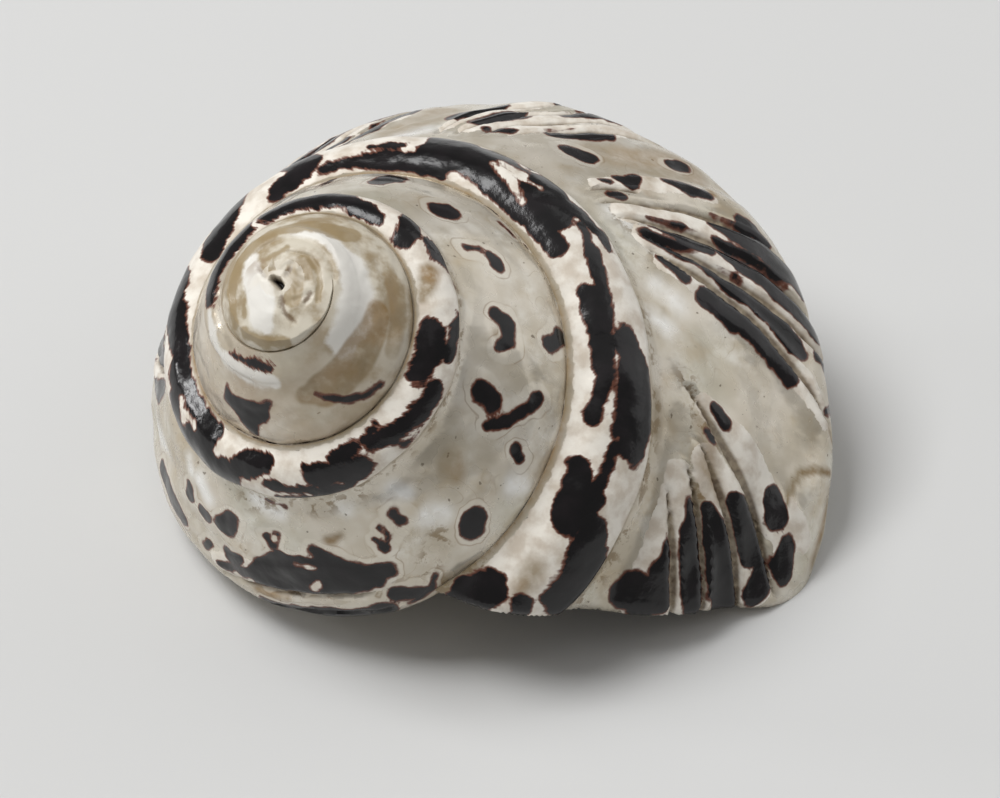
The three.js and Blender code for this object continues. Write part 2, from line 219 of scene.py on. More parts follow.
# Dark pigment along the tops of the ridges, cut through by the grooves.
RIDGE_MARKS = [
    # left fan
    [(1.492, 3.1, .10), (1.495, 4.0, .24), (1.507, 5.0, .16)], [(1.522, 6.1, .20), (1.528, 6.6, .12)],
    [(1.512, 3.4, .12), (1.522, 4.2, .2), (1.535, 5.3, .26), (1.545, 6.0, .12)],
    [(1.525, 3.1, .14), (1.537, 3.9, .2)], [(1.555, 5.0, .14), (1.569, 6.2, .24), (1.58, 7.2, .3)],
    [(1.545, 3.3, .10), (1.560, 4.4, .22), (1.570, 4.9, .12)],
    [(1.57, 3.6, .12), (1.585, 4.7, .2), (1.604, 6.2, .3), (1.612, 6.8, .2)],
    [(1.60, 3.9, .14), (1.608, 4.3, .2)],
    # back left fan
    [(1.648, 3.3, .10), (1.654, 4.2, .22), (1.662, 4.9, .13)],
    [(1.662, 3.2, .12), (1.670, 4.0, .2), (1.680, 4.9, .12)], [(1.687, 5.8, .26), (1.695, 6.5, .22)],
    [(1.680, 3.9, .13), (1.698, 5.2, .24), (1.704, 5.7, .12)], [(1.692, 3.4, .12), (1.703, 4.3, .16)],
    [(1.716, 5.4, .18), (1.728, 6.4, .24), (1.734, 6.9, .2)],
    [(1.708, 3.6, .12), (1.724, 4.8, .26), (1.735, 5.5, .15)], [(1.742, 6.3, .2), (1.752, 6.9, .3)],
    # back fan
    [(1.769, 4.2, .16), (1.777, 4.8, .18), (1.783, 5.3, .14)],
    [(1.783, 3.8, .14), (1.790, 4.2, .2), (1.797, 4.8, .18)], [(1.793, 3.55, .12), (1.806, 3.6, .12)],
    [(1.824, 4.2, .18), (1.831, 4.7, .22), (1.838, 5.1, .16)],
    [(1.812, 5.5, .18), (1.818, 5.9, .22), (1.826, 6.4, .18)], [(1.80, 6.4, .18), (1.806, 7.0, .18)],
    # right-hand fan, from the back forwards
    [(1.869, 3.3, .08), (1.871, 3.42, .09)], [(1.871, 3.75, .10), (1.876, 3.85, .14), (1.874, 4.15, .09)],
    [(1.880, 3.1, .08), (1.884, 3.33, .10)], [(1.880, 4.7, .11), (1.888, 5.05, .17), (1.892, 5.35, .11)],
    [(1.907, 5.0, .18), (1.917, 5.55, .27), (1.930, 6.2, .27), (1.938, 6.7, .22)],
    [(1.908, 5.8, .14), (1.918, 6.2, .17)], [(1.907, 3.42, .13), (1.915, 3.9, .26), (1.921, 4.28, .20)],
    [(1.922, 4.7, .20), (1.932, 5.15, .28), (1.944, 5.8, .28), (1.956, 6.6, .24)],
    [(1.914, 3.05, .14), (1.922, 3.4, .20), (1.930, 3.78, .15)],
    [(1.934, 3.98, .15), (1.943, 4.5, .25), (1.954, 5.1, .22)],
    [(1.960, 5.38, .20), (1.967, 5.72, .23), (1.970, 5.9, .18)], [(1.929, 3.0, .12), (1.940, 3.28, .15)],
    [(1.951, 3.65, .17), (1.960, 4.2, .24), (1.970, 4.85, .23), (1.982, 5.5, .18)],
    [(1.970, 6.4, .1), (1.974, 6.9, .12), (1.978, 7.3, .12)], [(1.995, 6.4, .08), (1.990, 6.8, .08)],
    # fan beside the lip
    [(2.011, 3.28, .08), (2.017, 3.5, .10)], [(2.024, 3.08, .06), (2.027, 3.26, .06)],
    [(2.040, 5.05, .22), (2.045, 5.2, .26)], [(2.050, 3.96, .17), (2.055, 4.4, .33), (2.063, 4.85, .31)],
    [(2.067, 5.32, .2), (2.075, 5.36, .27), (2.080, 5.32, .22)], [(2.056, 5.72, .2), (2.065, 5.8, .24)],
    [(2.059, 3.35, .12), (2.070, 3.8, .28), (2.082, 4.3, .34), (2.091, 4.75, .30)],
    [(2.060, 2.98, .08), (2.073, 3.2, .21), (2.086, 3.5, .27), (2.098, 3.9, .28)],
    [(2.082, 2.85, .09), (2.098, 2.95, .19), (2.108, 3.1, .24)],
    [(2.112, 2.58, .2), (2.118, 2.55, .22), (2.112, 2.9, .26)],
]
# Thin brown lines.
THIN_MARKS = [
    [(1.888, 5.75, .06), (1.892, 5.6, .07)],
    [(2.039, 5.46, .04), (2.030, 5.54, .05), (2.0235, 5.75, .055), (2.020, 6.1, .06), (2.0185, 6.6, .05)],
    [(2.000, 6.55, .06), (2.004, 6.75, .08)],
]
RIDGE_WIDER = 1.35                          # pigment reaches over the whole top of a ridge
# Pale gaps left inside the dark marks.
PALE = [
    [(1.425, .95, .1), (1.443, .68, .12)], [(1.28, 4.45, .12), (1.295, 4.35, .14)],
    [(1.280, 5.05, .12), (1.284, 5.25, .15)], [(1.315, 3.55, .1)], [(.656, .3, .10), (.660, 1.8, .10)],
    [(1.228, 1.35, .05), (1.25, 1.2, .05)], [(1.330, 1.2, .16), (1.336, 1.7, .18)],
    [(1.338, 5.75, .12), (1.352, 5.8, .1)], [(1.355, .45, .1), (1.36, .7, .12)],
    [(1.842, .88, .05), (1.856, .78, .12), (1.868, .62, .13), (1.880, .48, .10)],
    [(1.858, .85, .07), (1.876, 1.0, .05)], [(1.826, .26, .08), (1.845, .14, .14)],
]
# Painted highlights: near-white patches standing in for glints of light off the mother-of-pearl.
PAINTED_HIGHLIGHTS = [
    [(1.398, 3.0, .22), (1.385, 3.3, .18)], [(1.418, 2.8, .12), (1.412, 3.1, .15)],
    [(1.332, 2.25, .2), (1.308, 2.5, .22)], [(1.245, 2.4, .13), (1.238, 2.6, .12)],
    [(1.192, 2.7, .25), (1.182, 2.95, .22)], [(1.176, 4.0, .3), (1.168, 4.3, .3)],
    [(1.113, 5.6, .3), (1.108, 5.9, .25)], [(1.892, 2.75, .1), (1.905, 2.95, .18), (1.918, 3.05, .14)],
    [(1.945, 2.6, .1), (1.956, 2.85, .14)], [(1.966, 2.3, .12), (1.972, 2.5, .1)],
    [(.62, 3.4, .3), (.66, 3.8, .3)], [(1.62, 3.2, .25), (1.64, 3.5, .3)],
    [(1.46, 4.4, .3), (1.475, 5.0, .3)], [(1.745, 3.1, .2), (1.757, 3.4, .2)],
]
# Chalky outer layer kept on the ridges of the fans: broad strokes along each fan.
OUTER_LAYER = [
    [(2.012, 3.1, .25), (2.03, 4.2, .4), (2.048, 5.3, .4)],
    [(2.04, 3.2, .4), (2.06, 4.2, .5), (2.075, 5.2, .5)],
    [(2.05, 2.6, .25), (2.08, 2.8, .45), (2.11, 3.0, .6)], [(2.075, 3.4, .4), (2.10, 3.9, .4)],
    [(2.052, 5.5, .2), (2.064, 5.8, .3)],
    [(1.871, 3.1, .18), (1.876, 3.9, .22), (1.884, 4.8, .24), (1.893, 5.4, .2)],
    [(1.895, 3.0, .28), (1.907, 4.2, .4), (1.922, 5.4, .4), (1.935, 6.6, .4), (1.945, 7.4, .3)],
    [(1.915, 3.0, .3), (1.935, 4.4, .45), (1.950, 5.6, .45), (1.965, 6.6, .4)],
    [(1.932, 3.1, .3), (1.955, 4.2, .4), (1.972, 5.2, .35), (1.985, 5.9, .3), (1.998, 6.3, .2)],
    [(1.770, 3.5, .15), (1.778, 4.5, .3), (1.792, 5.6, .3), (1.80, 6.6, .3)],
    [(1.785, 3.5, .25), (1.80, 4.5, .4), (1.82, 5.7, .4), (1.83, 6.8, .3)],
    [(1.805, 3.7, .25), (1.83, 4.8, .35), (1.84, 5.8, .3)],
    [(1.655, 3.2, .2), (1.67, 4.4, .35), (1.69, 5.8, .35)],
    [(1.68, 3.4, .3), (1.70, 4.6, .4), (1.725, 6.2, .35)], [(1.705, 3.6, .25), (1.73, 5.0, .3)],
    [(1.495, 3.1, .2), (1.51, 4.4, .35), (1.535, 6.0, .35)],
    [(1.525, 3.2, .3), (1.55, 4.6, .4), (1.575, 6.2, .35)],
    [(1.555, 3.4, .25), (1.585, 5.0, .35), (1.60, 6.0, .25)],
    [(1.23, 5.2, .4), (1.28, 4.9, .6), (1.34, 5.3, .5), (1.37, 5.7, .3)],
    [(2.040, 5.55, .2), (2.05, 6.1, .25)],
]
# Tan and ochre stain: (strength, stroke)
STAIN = [
    (.9, [(1.262, 3.45, .22), (1.252, 3.35, .1)]), (.9, [(.957, .7, .3), (.975, .5, .3), (.992, .25, .2)]),
    (.5, [(1.135, 3.3, .5), (1.137, 3.7, .3)]), (.6, [(1.01, 3.4, .2)]),
    (.8, [(2.015, 1.95, .1), (2.035, 2.0, .12)]), (.7, [(1.31, 6.0, .15), (1.335, 6.15, .2)]),
    (.6, [(2.04, 3.1, .25), (2.05, 3.6, .12)]), (.5, [(1.85, 4.2, .5), (1.865, 5.0, .6), (1.87, 5.8, .6)]),
    (.35, [(1.74, 3.6, .5), (1.755, 5.0, .7)]),
    (.7, [(.04, 3.6, .9), (.12, 3.3, 1.3), (.20, 3.4, 1.2), (.235, 3.2, .6)]),
    (.45, [(-.02, 5.0, .8), (.08, 5.3, .6)]), (.7, [(2.142, .7, .18), (2.155, .75, .14)]),
    (1.0, [(2.030, 6.78, .08), (2.042, 6.76, .12), (2.055, 6.68, .10)]),
    (.55, [(1.876, 4.42, .08), (1.885, 4.05, .09)]),
    (.5, [(2.02, 3.0, .2), (2.045, 3.3, .2), (2.055, 3.2, .15)]),
    (.5, [(1.90, 3.0, .1), (1.915, 2.95, .1)]), (.9, [(2.176, .12, .08), (2.2, .3, .2)]),
    (.8, [(1.193, 6.3, .25), (1.208, 6.7, .3)]),
]
# Brown crust: at the roots of the two front fans, beside the collar and in corners of the seam.
CRUST = [
    [(2.00, 2.65, .2), (2.02, 3.0, .25), (2.035, 3.3, .25)], [(2.035, 3.0, .2), (2.055, 3.2, .2)],
    [(1.895, 2.9, .2), (1.93, 3.0, .2)], [(1.30, 2.0, .3), (1.34, 2.4, .3)],
    [(1.18, 4.9, .4), (1.20, 5.6, .4)], [(1.22, 2.2, .2), (1.27, 2.3, .2)], [(.93, .8, .5), (.97, .6, .5)],
    [(2.15, .12, .12), (2.175, .12, .15), (2.2, .15, .2)], [(1.20, 5.9, .3), (1.215, 6.4, .35)],
]
# Worn tip: strokes of (x, y, half width) in mm about the axis, looking down it.
TIP_WHITE_AND_HIGHLIGHT = [
    [(-2.2, 1.6, .6), (-1.9, .3, .9), (-1.3, -1.0, 1.1), (-1.1, -2.4, 1.0), (-.8, -3.0, .6)],
    [(.4, 3.7, .3), (1.8, 3.6, .5), (3.1, 2.9, .55), (4.4, 1.5, .7), (4.9, -.2, .85), (4.6, -2.2, .85),
     (3.6, -4.0, .7)],
    # painted highlight: this arc low on the left of the first whorl stands in for a glint of light, not wear
    [(-6.3, -.6, .25), (-6.1, -1.7, .4), (-5.4, -3.6, .45), (-3.3, -5.2, .5), (-1.2, -5.9, .35)],
]
TIP_TAN = [
    [(-3.3, -2.6, .3), (-3.6, -.6, .35), (-3.3, 1.5, .4), (-2.2, 3.0, .5), (-.6, 3.9, .55),
     (1.4, 4.3, .6), (3.6, 3.9, .7)],
    [(.5, 2.05, .10), (1.9, 1.7, .16), (2.5, .9, .2), (2.8, -.4, .2), (2.7, -1.4, .16)],
    [(-.9, 1.7, .2), (.3, 2.3, .25)], [(-2.45, -1.1, .2), (-2.5, -2.0, .26)],
    [(.8, .9, .3), (1.3, .1, .5), (1.0, -1.3, .6)], [(-2.6, -3.2, .3), (-1.2, -3.9, .3), (.6, -4.0, .3)],
]
TIP_BROWN = [
    [(.1, -.6, .06), (.3, -1.4, .10), (.5, -2.2, .16), (1.1, -2.7, .12)],
    [(1.9, -1.5, .08), (2.2, -1.0, .12)], [(-1.5, 1.0, .04), (-1.2, .65, .06), (-1.0, .3, .04)],
    [(.5, .4, .08), (.8, .9, .12)],
]
TIP_PIT = [(-.42, .16, .20), (-.1, -.05, .27), (.12, -.34, .24)]

# ---- how finely it is drawn ----
COLUMNS_COLLAR, COLUMNS_SIDE, COLUMNS_BASE = 0.075, 0.11, 0.30     # over the whorl, whorl-zero mm
COLUMNS_SPIRE, COLUMNS_EARLY = 0.105, 0.3
SIDE_STARTS, BASE_STARTS, SPIRE_BASE_STARTS = 2.6, 7.3, 7.2
FAN_SPACING, PLAIN_SPACING = 0.19, 0.36      # mm between rings along the shoulder
FANS = [(1.22, 1.40), (1.49, 1.61), (1.65, 1.745), (1.765, 1.855), (1.868, 2.115)]

# ---- relief besides the strokes: heights and widths in mm at whorl zero's size ----
COLLAR_EDGE, COLLAR_STEP = 1.68, 0.19
COLLAR_BEGINS = (.25, .60)                   # turns over which the collar rises out of the whorl
COLLAR_CROWN = (.05, 1.2, .4)                # bells across the whorl: (height, middle, half width)
CHANNEL = (.085, 2.3, .42)
EARLY_CROWN = (.18, 1.6, .55)
GROOVE_FLATNESS = 2.4                        # how flat the bottom of a groove is
OUTER_LAYER_HEIGHT = .035
SIDE_WAVES, FINE_WAVES = .046, .018
ACROSS_TO_RADIUS = .56                       # radius gained on the dome for each mm across
NO_STROKE = -2.0                             # depth given to places that are near no stroke
LIP_WEAR, LIP_WEAR_STARTS = .75, 1.86        # real mm that the lip's edge is rounded over, and the turn
# The worn dome, in real mm: depth of its middle, the radius drawn finely and the radius worn.
DOME_TOP, DOME_SHOWS, TIP_WEARS = 4.79, 5.2, 7.0


def growth(turn):
    away = turn - MIDDLE_WHORL
    return np.exp(GROWTH_PER_WHORL * turn + GROWTH_SLOWING * away * away)


def read_list(pairs, place):
    """Reads a value out of a short list of (place, value) pairs, easing between them."""
    table = np.array(pairs, float)
    i = np.clip(np.searchsorted(table[:, 0], place) - 1, 0, len(table) - 2)
    part = np.clip((place - table[i, 0]) / (table[i + 1, 0] - table[i, 0]), 0, 1)
    ease = part * part * (3 - 2 * part)
    return table[i, 1] + (table[i + 1, 1] - table[i, 1]) * ease


def smooth_line(points, per_span=40):
    """A fine line through the points, curving evenly at each."""
    spots = np.array(points, float)
    line = []
    for i in range(len(spots) - 1):
        before, start = spots[max(i - 1, 0)], spots[i]
        end, after = spots[i + 1], spots[min(i + 2, len(spots) - 1)]
        pull_in, pull_out = (end - before) / 2, (after - start) / 2
        for part in np.arange(per_span) / per_span:
            line.append((2 * start - 2 * end + pull_in + pull_out) * part ** 3
                        + (3 * end - 3 * start - 2 * pull_in - pull_out) * part ** 2
                        + pull_in * part + start)
    line.append(spots[-1])
    return np.array(line)


outline = smooth_line(OUTSIDE)
outline_reach = np.concatenate([[0], np.cumsum(np.hypot(*np.diff(outline, axis=0).T))])
WHOLE_WAY = outline_reach[-1]
outline_slope = np.gradient(outline, axis=0)
outline_slope /= np.linalg.norm(outline_slope, axis=1)[:, None]


def on_outline(across):
    """Distance from the axis and depth of a place on the outline, with the way outwards there."""
    spot = np.stack([np.interp(across, outline_reach, outline[:, i]) for i in (0, 1)], -1)
    slope = np.stack([np.interp(across, outline_reach, outline_slope[:, i]) for i in (0, 1)], -1)
    return spot, np.stack([slope[..., 1], -slope[..., 0]], -1)


def ground_in(spot, turn):
    """Moves an outline in at the shoulder where a facet is ground, as in the CAD."""
    out = spot - np.array(FACET_MIDDLE)
    angle = np.degrees(np.arctan2(out[..., 1], out[..., 0]))
    fade = np.where((angle < FACET_ARC[0]) | (angle > FACET_ARC[1]), 0, read_list(FACET_FADE, angle))
    amount = read_list(FACETS, turn) * fade
    return spot - out * (amount / np.linalg.norm(out, axis=-1))[..., None]


def stroke_depth(turn, across, stroke, stretch=None):
    """How far inside a brush stroke each place is, in mm at the stroke's own size, negative outside.
    On a whorl the way round is stretched to its length at whorl zero."""
    round_way = stretch
    if stretch is None:
        round_way = FULL_TURN * np.interp(across, outline_reach, outline[:, 0])
    best = np.full(np.shape(turn), -9.0)
    points = stroke if len(stroke) > 1 else stroke * 2
    for (turn_a, across_a, wide_a), (turn_b, across_b, wide_b) in zip(points[:-1], points[1:]):
        dx, dy = (turn - turn_a) * round_way, across - across_a
        sx, sy = (turn_b - turn_a) * round_way, across_b - across_a
        part = np.clip((dx * sx + dy * sy) / np.maximum(sx * sx + sy * sy, 1e-9), 0, 1)
        away = np.hypot(dx - sx * part, dy - sy * part)
        best = np.maximum(best, wide_a + (wide_b - wide_a) * part - away)
    return best


def strokes_depth(turn, across, strokes):
    """The deepest of many strokes at each place; each is worked out only near itself."""
    near_turns, near_across = .06, 2
    best = np.full(np.shape(turn), NO_STROKE)
    for stroke in strokes:
        turns, heights = [p[0] for p in stroke], [p[1] for p in stroke]
        near = ((turn > min(turns) - near_turns) & (turn < max(turns) + near_turns)
                & (across > min(heights) - near_across) & (across < max(heights) + near_across))
        if near.any():
            best[near] = np.maximum(best[near], stroke_depth(turn[near], across[near], stroke))
    return best


def smooth_step(low, high, value):
    part = np.clip((value - low) / (high - low), 0, 1)
    return part * part * (3 - 2 * part)


def bell(value, middle, half_width):
    """1 at the middle, falling away evenly to both sides."""
    return np.exp(-((value - middle) / half_width) ** 2)


def tip_depth(spots, strokes):
    """How deep each place is in the strokes drawn on the worn tip."""
    return np.max([stroke_depth(spots[:, 0], spots[:, 1], stroke, 1.0) for stroke in strokes], axis=0)


def groove_amount(turn, across):
    """1 along the bottom of a carved groove, falling to 0 at its edges."""
    deepest = np.zeros(np.shape(turn))
    for drawn in GROOVES:
        wide = max(p[2] for p in drawn)
        inside = strokes_depth(turn, across, [drawn])
        deepest = np.maximum(deepest, np.clip(inside / wide, 0, 1))
    return deepest


def waves(turn, across, seed):
    """Soft irregular unevenness between -1 and 1, a few mm from crest to crest."""
    bent = across + .35 * np.sin(turn * 31 + seed) + .2 * np.sin(turn * 67 + 2 * seed)
    along = turn * 33 + .5 * np.sin(across * 1.9 + seed)
    return (np.sin(along * 1.45 + bent * .9 + seed) * np.sin(bent * 2.1 - along * .6 + 2.3 * seed)
            + .5 * np.sin(along * 3.1 - bent * 1.7 + 3 * seed) * np.sin(bent * 3.9 + along * 1.1)) / 1.5


def relief(turn, across):
    """How far the carved and worn surface stands out from the plain outline, whorl-zero mm."""
    raised = smooth_step(*COLLAR_BEGINS, turn)
    edge = COLLAR_EDGE + .05 * np.sin(turn * 37) + .03 * np.sin(turn * 83 + 1)
    collar = COLLAR_STEP * smooth_step(edge + .13, edge - .09, across) * smooth_step(.05, .75, across)
    collar += COLLAR_CROWN[0] * bell(across, *COLLAR_CROWN[1:])
    channel = CHANNEL[0] * bell(across, *CHANNEL[1:])
    out = raised * (collar - channel)
    # the first whorl below the worn tip is rounded before the collar begins
    early = smooth_step(.16, .30, turn)
    out += EARLY_CROWN[0] * bell(across, *EARLY_CROWN[1:]) * early * smooth_step(.62, .48, turn)
    groove = groove_amount(turn, across)
    out -= GROOVE_DEPTH * (1 - (1 - groove) ** GROOVE_FLATNESS)
    for depth, stroke in HOLLOWS:
        wide = max(p[2] for p in stroke)
        inside = strokes_depth(turn, across, [stroke])
        out -= depth * smooth_step(0, wide, inside)
    # the outer layer stands a little proud of the ground mother-of-pearl
    out += OUTER_LAYER_HEIGHT * smooth_step(-.12, .10, strokes_depth(turn, across, OUTER_LAYER))
    # slight unevenness from growth, grinding and wear
    out += SIDE_WAVES * waves(turn, across, 1.0) * smooth_step(1.8, 2.6, across)
    out += FINE_WAVES * waves(turn * 1.7, across, 4.0) * smooth_step(.2, .6, across)
    return out


# ---- laying the shell down ----
lay_down = (Matrix.Translation((TO_CENTRE[0], TO_CENTRE[1], TIP_HEIGHT))
            @ Matrix.Rotation(math.radians(LEAN_TOWARDS), 4, "Z")
            @ Matrix.Rotation(math.radians(LEAN), 4, "Y")
            @ Matrix.Rotation(math.radians(SPIN), 4, "Z"))
lay_turn = np.array(lay_down.to_3x3())
lay_move = np.array(lay_down.to_translation())


def laid_down(spots):
    return (spots @ lay_turn.T + lay_move) * TO_METRES


def upright(spots):
    return (spots / TO_METRES - lay_move) @ lay_turn


def swung(spot, turn):
    """Carries (distance, depth) places round the axis to their whorl, clockwise seen from the tip."""
    size = growth(turn)
    angle = -turn * FULL_TURN
    return np.stack([spot[..., 0] * size * np.cos(angle), spot[..., 0] * size * np.sin(angle),
                     -spot[..., 1] * size], -1)


def lip_rounded(spots, out_way, turn):
    """Wears the outer edge of the lip round, close to the plane that the lip lies in."""
    facing = np.array(LIP_FACING) / np.linalg.norm(LIP_FACING)
    above = (spots @ lay_turn.T + lay_move - np.array(LIP_POINT)) @ facing
    left = np.clip(above, 0, LIP_WEAR)
    inwards = LIP_WEAR - np.sqrt(np.maximum(LIP_WEAR ** 2 - (LIP_WEAR - left) ** 2, 0))
    by_lip = (turn > LIP_WEAR_STARTS) & (above > -2 * LIP_WEAR) & (above < LIP_WEAR)
    inwards = np.where(by_lip, inwards, 0)
    return spots - out_way * inwards[..., None]


OUTER, EDGE, CHAMBER, DOME = range(4)     # which side of the shell a face belongs to


def read(items, name, width=1, kind=np.int32):
    """One value of every item as an array, with a row for each item where it is wide."""
    values = np.zeros(len(items) * width, kind)
    items.foreach_get(name, values)
    return values.reshape(-1, width) if width > 1 else values


def mark_part(mesh, part):
    """Notes on every face which side of the shell it belongs to."""
    kind = mesh.attributes.new("part", "INT", "FACE")
    kind.data.foreach_set("value", np.full(len(mesh.polygons), part, np.int32))


def mesh_object(name, spots, faces, coil=None, part=OUTER):
    """A mesh from places in metres and faces, with (turn, across) kept at each face corner."""
    mesh = bpy.data.meshes.new(name)
    mesh.from_pydata(spots.tolist(), [], faces)
    layer = mesh.attributes.new("coil", "FLOAT2", "CORNER")
    if coil is not None:
        corner = read(mesh.loops, "vertex_index")
        layer.data.foreach_set("vector", coil[corner].astype(np.float32).ravel())
    mark_part(mesh, part)
    piece = bpy.data.objects.new(name, mesh)
    bpy.context.collection.objects.link(piece)
    return piece


def ring_faces(rings, count):
    """Four-sided faces from ring to ring, with a face closing each end."""
    faces = []
    for i in range(rings - 1):
        for j in range(count):
            k = (j + 1) % count
            faces.append((i * count + j, i * count + k, (i + 1) * count + k, (i + 1) * count + j))
    faces.append(tuple(range(count))[::-1])
    faces.append(tuple(range((rings - 1) * count, rings * count)))
    return faces


def pick_only(piece):
    """Makes one object the selected and active one."""
    bpy.ops.object.select_all(action="DESELECT")
    bpy.context.view_layer.objects.active = piece
    piece.select_set(True)


def face_outwards(piece):
    """Turns every face to look outwards, in edit mode as by hand."""
    pick_only(piece)
    bpy.ops.object.mode_set(mode="EDIT")
    bpy.ops.mesh.select_all(action="SELECT")
    bpy.ops.mesh.normals_make_consistent(inside=False)
    bpy.ops.object.mode_set(mode="OBJECT")


def ring_turns(start, end, spacing):
    """Rings from start to end, evenly spaced along the shoulder, or closer in the fans."""
    fine = np.linspace(start, end, 900)
    way = FULL_TURN * SHOULDER_RADIUS * growth(fine)
    if spacing is None:
        in_fan = np.any([(fine > low) & (fine < high) for low, high in FANS], axis=0)
        way = way / np.where(in_fan, FAN_SPACING, PLAIN_SPACING)
        spacing = 1.0
    reach = np.concatenate([[0], np.cumsum((way[1:] + way[:-1]) / 2 * np.diff(fine))])
    count = max(4, int(round(reach[-1] / spacing)))
    return np.interp(np.linspace(0, reach[-1], count + 1), reach, fine)


def whorl(name, start, end, spacing, columns):
    """A closed length of whorl with all its relief."""
    turns = ring_turns(start, end, spacing)
    spot, out_way = on_outline(columns)
    ring_spots, ring_coil = [], []
    inner = np.array(INSIDE_RETURN)
    for turn in turns:
        here = np.full(len(columns), turn)
        carved = ground_in(spot, here) + out_way * relief(here, columns)[:, None]
        outer = swung(carved, here)
        angle = -turn * FULL_TURN
        tilt = np.stack([out_way[:, 0] * math.cos(angle), out_way[:, 0] * math.sin(angle),
                         -out_way[:, 1]], -1)
        outer = lip_rounded(outer, tilt, here)
        here_inside = np.full(len(inner), turn)
        ring_spots.append(np.concatenate([outer, swung(inner, here_inside)]))
        inner_coil = np.stack([here_inside, np.full(len(inner), WHOLE_WAY)], -1)
        ring_coil.append(np.concatenate([np.stack([here, columns], -1), inner_coil]))
    count = len(columns) + len(inner)
    piece = mesh_object(name, laid_down(np.concatenate(ring_spots)), ring_faces(len(turns), count),
                        np.concatenate(ring_coil))
    face_outwards(piece)
    return piece


def hollow(name, start, end, spacing):
    """A closed length of the living chamber, to be cut out of the whorl."""
    turns = ring_turns(start, end, spacing)
    loop = smooth_line(HOLLOW + HOLLOW[:1], 3)[:-1]
    middle = np.array(HOLLOW_MIDDLE)
    ring_spots, ring_coil = [], []
    for turn in turns:
        part = np.clip((turn - HOLLOW_STARTS) / (HOLLOW_FULL - HOLLOW_STARTS), 0, 1)
        size = HOLLOW_FIRST_SIZE + (1 - HOLLOW_FIRST_SIZE) * math.sqrt(1 - (1 - part) ** 2)
        here = np.full(len(loop), turn)
        ring_spots.append(swung(middle + (ground_in(loop, here) - middle) * size, here))
        ring_coil.append(np.stack([here, np.linspace(0, WHOLE_WAY, len(loop))], -1))
    piece = mesh_object(name, laid_down(np.concatenate(ring_spots)), ring_faces(len(turns), len(loop)),
                        np.concatenate(ring_coil), CHAMBER)
    face_outwards(piece)
    return piece


def round_body(name, line, steps, part, rough=None):
    """A closed round body about the shell's axis from (radius, depth) pairs."""
    line = np.array(line, float)
    angles = np.arange(steps) * FULL_TURN / steps
    rings = []
    for radius, depth in line:
        ring = [radius * np.cos(angles), radius * np.sin(angles), np.full(steps, -depth)]
        rings.append(np.stack(ring, -1))
    spots = np.concatenate(rings)
    if rough is not None:
        spots = rough(spots)
    piece = mesh_object(name, laid_down(spots), ring_faces(len(line), steps), part=part)
    face_outwards(piece)
    return piece


def join(piece, other, operation):
    """One boolean, applied, and the other body cleared away."""
    pick_only(piece)
    cut = piece.modifiers.new("cut", "BOOLEAN")
    cut.operation = operation
    cut.object = other
    cut.solver = "MANIFOLD"
    bpy.ops.object.modifier_apply(modifier=cut.name)
    bpy.data.objects.remove(other)
    return piece


def block_beyond(name, point, facing):
    """A large block lying wholly behind a plane."""
    side = .16
    bpy.ops.object.select_all(action="DESELECT")
    bpy.ops.mesh.primitive_cube_add(size=side)
    piece = bpy.context.object
    piece.name = name
    turned = Vector(facing).normalized().to_track_quat("Z", "Y").to_matrix().to_4x4()
    moved = Matrix.Translation(Vector(point) * TO_METRES)
    piece.data.transform(moved @ turned @ Matrix.Translation((0, 0, -side / 2)))
    mark_part(piece.data, EDGE)
    piece.data.attributes.new("coil", "FLOAT2", "CORNER")
    return piece


def seam_reach(turn):
    """Radius of the seam line on the worn dome at each turn."""
    return SEAM_RADIUS * growth(turn)


def worn_tip(spots):
    """Uneven wear of the first whorls and the hole at the very tip, on the worn dome."""
    x, y = spots[:, 0], spots[:, 1]
    radius = np.hypot(x, y)
    phase = (-np.arctan2(y, x) / FULL_TURN) % 1
    # the last of the old seam, then shallow dents, then the picked-out stains and the hole
    drop = .13 * bell(radius, seam_reach(phase - 1), .22) * smooth_step(.25, .7, phase)
    drop += .05 * np.sin(x * 1.7 + 1.2 * np.sin(y * 1.3)) * np.sin(y * 1.9 + x * .6 + 1) * (radius < 4)
    worn = smooth_step(-.5, .3, tip_depth(spots, [[(.6, 1.0, .5), (1.4, .2, .5), (1.5, -1.4, .6)]]))
    drop += .05 * worn * np.sin(x * 5.1 + 2.0 * np.sin(y * 2.6)) * np.sin(y * 4.3 - 1.5 * np.sin(x * 3.1))
    drop += .10 * smooth_step(-.35, .12, tip_depth(spots, TIP_BROWN))
    drop += .10 * smooth_step(-.15, .15, tip_depth(spots, TIP_TAN[1:2]))
    drop -= .09 * smooth_step(-.5, .5, tip_depth(spots, TIP_WHITE_AND_HIGHLIGHT[:1]))
    drop += .9 * smooth_step(-.14, .24, tip_depth(spots, [TIP_PIT]))
    spots = spots.copy()
    spots[:, 2] -= np.where(radius < TIP_WEARS, drop, 0)
    return spots


def dome_line():
    """The worn dome's outline, fine where it shows."""
    given = np.array([(0, DOME_TOP)] + WORN_DOME[:-1])
    near, middling = np.arange(.04, 3.2, .07), np.arange(3.2, DOME_SHOWS, .12)
    radii = np.concatenate([near, middling, given[-3:, 0]])
    depths = np.interp(radii, given[:, 0], given[:, 1])
    return list(zip(radii, depths)) + [WORN_DOME[-1]]


def spire_spread(spacing, below):
    """Columns over a whorl of the spire: even above, and a few on the hidden part below."""
    return np.concatenate([np.arange(0, 6.7, spacing), np.linspace(SPIRE_BASE_STARTS, WHOLE_WAY, below)])


fine_columns = np.concatenate([np.arange(0, SIDE_STARTS, COLUMNS_COLLAR),
                               np.arange(SIDE_STARTS, SPIRE_BASE_STARTS, COLUMNS_SIDE),
                               np.arange(BASE_STARTS, WHOLE_WAY - .1, COLUMNS_BASE), [WHOLE_WAY]])
spire_columns = spire_spread(COLUMNS_SPIRE, 9)

